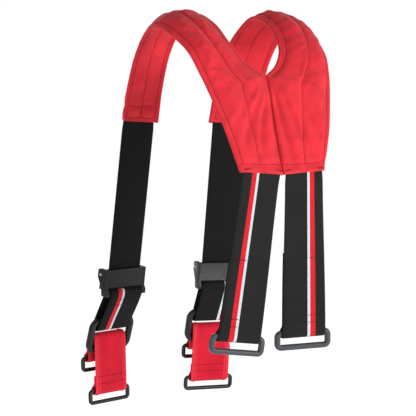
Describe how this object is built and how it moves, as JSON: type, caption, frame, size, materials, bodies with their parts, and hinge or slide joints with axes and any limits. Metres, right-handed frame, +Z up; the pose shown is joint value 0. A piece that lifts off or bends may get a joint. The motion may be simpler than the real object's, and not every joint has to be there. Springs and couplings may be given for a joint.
{
  "type": "firefighter suspenders",
  "caption": "Padded H-back suspenders with elastic back straps, cam-adjusted front straps, rings, folded tabs and rectangular loops.",
  "frame": {"origin": "between the shoulders, at the height where the wearer's shoulders carry the pads", "axes": "+Z up, +Y towards the wearer's front, +X towards the wearer's right"},
  "size_m": [0.2169, 0.2743, 0.4544],
  "materials": {
    "red_shell": "red aramid twill outer cloth with topstitching",
    "foam": "closed-cell foam pad",
    "red_lining": "red body-side cloth",
    "back_webbing": "black elastic webbing with a red and a white stripe",
    "front_webbing": "black webbing with a red and a white stripe on its outer face",
    "back_loop_plastic": "grey-black moulded plastic",
    "adjuster_plastic": "black moulded plastic, satin",
    "pin_steel": "steel pin",
    "ring_plastic": "black moulded plastic, satin",
    "red_tab": "red folded cloth tab with seams along both edges",
    "front_loop_plastic": "brown-black moulded plastic"
  },
  "bodies": {
    "root": {"left_pad_shell": "red_shell", "left_pad_foam": "foam", "left_pad_lining": "red_lining", "right_pad_shell": "red_shell", "right_pad_foam": "foam", "right_pad_lining": "red_lining"},
    "left_back_strap": {"left_back_webbing": "back_webbing"},
    "left_back_buckle": {"left_back_loop": "back_loop_plastic"},
    "left_front_strap": {"left_front_webbing": "front_webbing"},
    "left_adjuster": {"left_adjuster_frame": "adjuster_plastic", "left_adjuster_pin": "pin_steel"},
    "left_lever": {"left_adjuster_lever": "adjuster_plastic"},
    "left_ring_body": {"left_ring": "ring_plastic"},
    "left_tab_body": {"left_tab": "red_tab"},
    "left_long_buckle": {"left_tab_long_loop": "front_loop_plastic"},
    "left_short_buckle": {"left_tab_short_loop": "front_loop_plastic"},
    "right_back_strap": {"right_back_webbing": "back_webbing"},
    "right_back_buckle": {"right_back_loop": "back_loop_plastic"},
    "right_front_strap": {"right_front_webbing": "front_webbing"},
    "right_adjuster": {"right_adjuster_frame": "adjuster_plastic", "right_adjuster_pin": "pin_steel"},
    "right_lever": {"right_adjuster_lever": "adjuster_plastic"},
    "right_ring_body": {"right_ring": "ring_plastic"},
    "right_tab_body": {"right_tab": "red_tab"},
    "right_long_buckle": {"right_tab_long_loop": "front_loop_plastic"},
    "right_short_buckle": {"right_tab_short_loop": "front_loop_plastic"}
  },
  "joints": [
    {"name": "left_back_stretch", "type": "slide", "parent": "root", "child": "left_back_strap", "axis": [-0.1126, 0.1028, -0.9883], "range_m": [0, 0.045], "stiffness_N_per_m": 350, "deforming": ["left_back_webbing"]},
    {"name": "left_back_loop_swing", "type": "hinge", "parent": "left_back_strap", "child": "left_back_buckle", "pos_m": [-0.04812, -0.07188, -0.34959], "axis": [0.9775, -0.167, -0.1287], "range_deg": [-115, 115]},
    {"name": "left_take_up", "type": "slide", "parent": "root", "child": "left_adjuster", "axis": [0.0171, -0.1908, 0.9815], "range_m": [-0.015, 0.08]},
    {"name": "left_strap_loop_slide", "type": "slide", "parent": "left_adjuster", "child": "left_front_strap", "axis": [-0.0893, 0.5222, -0.8481], "range_m": [-0.0075, 0.04], "deforming": ["left_front_webbing"]},
    {"name": "left_lever_tilt", "type": "hinge", "parent": "left_adjuster", "child": "left_lever", "pos_m": [-0.07097, 0.12776, -0.28589], "axis": [0.9787, 0.2041, 0.0226], "range_deg": [0, 80]},
    {"name": "left_ring_swing", "type": "hinge", "parent": "left_front_strap", "child": "left_ring_body", "pos_m": [-0.07286, 0.14307, -0.34202], "axis": [0.9787, 0.2041, 0.0226], "range_deg": [-75, 75]},
    {"name": "left_tab_swing", "type": "hinge", "parent": "left_ring_body", "child": "left_tab_body", "pos_m": [-0.0745, 0.15469, -0.37605], "axis": [0.9787, 0.2041, 0.0226], "range_deg": [-60, 60]},
    {"name": "left_long_loop_swing", "type": "hinge", "parent": "left_tab_body", "child": "left_long_buckle", "pos_m": [-0.07327, 0.15415, -0.42456], "axis": [0.9787, 0.2041, 0.0226], "range_deg": [-115, 115]},
    {"name": "left_short_loop_swing", "type": "hinge", "parent": "left_tab_body", "child": "left_short_buckle", "pos_m": [-0.07631, 0.1645, -0.38638], "axis": [0.9787, 0.2041, 0.0226], "range_deg": [-50, 115]},
    {"name": "right_back_stretch", "type": "slide", "parent": "root", "child": "right_back_strap", "axis": [0.059, 0.1028, -0.993], "range_m": [0, 0.045], "stiffness_N_per_m": 350, "deforming": ["right_back_webbing"]},
    {"name": "right_back_loop_swing", "type": "hinge", "parent": "right_back_strap", "child": "right_back_buckle", "pos_m": [0.04084, -0.07204, -0.35026], "axis": [0.9515, -0.3067, 0.0248], "range_deg": [-115, 115]},
    {"name": "right_take_up", "type": "slide", "parent": "root", "child": "right_adjuster", "axis": [-0.0171, -0.1908, 0.9815], "range_m": [-0.015, 0.08]},
    {"name": "right_strap_loop_slide", "type": "slide", "parent": "right_adjuster", "child": "right_front_strap", "axis": [0.0893, 0.5222, -0.8481], "range_m": [-0.0075, 0.04], "deforming": ["right_front_webbing"]},
    {"name": "right_lever_tilt", "type": "hinge", "parent": "right_adjuster", "child": "right_lever", "pos_m": [0.07097, 0.12776, -0.28589], "axis": [0.9787, -0.2041, -0.0226], "range_deg": [0, 80]},
    {"name": "right_ring_swing", "type": "hinge", "parent": "right_front_strap", "child": "right_ring_body", "pos_m": [0.07286, 0.14307, -0.34202], "axis": [0.9787, -0.2041, -0.0226], "range_deg": [-75, 75]},
    {"name": "right_tab_swing", "type": "hinge", "parent": "right_ring_body", "child": "right_tab_body", "pos_m": [0.0745, 0.15469, -0.37605], "axis": [0.9787, -0.2041, -0.0226], "range_deg": [-60, 60]},
    {"name": "right_long_loop_swing", "type": "hinge", "parent": "right_tab_body", "child": "right_long_buckle", "pos_m": [0.07431, 0.15912, -0.42438], "axis": [0.9787, -0.2041, -0.0226], "range_deg": [-115, 115]},
    {"name": "right_short_loop_swing", "type": "hinge", "parent": "right_tab_body", "child": "right_short_buckle", "pos_m": [0.07654, 0.1655, -0.38528], "axis": [0.9787, -0.2041, -0.0226], "range_deg": [-50, 115]}
  ],
  "couplings": [
    {"joint": "left_strap_loop_slide", "follows": "left_take_up", "ratio": 0.5},
    {"joint": "right_strap_loop_slide", "follows": "right_take_up", "ratio": 0.5}
  ]
}
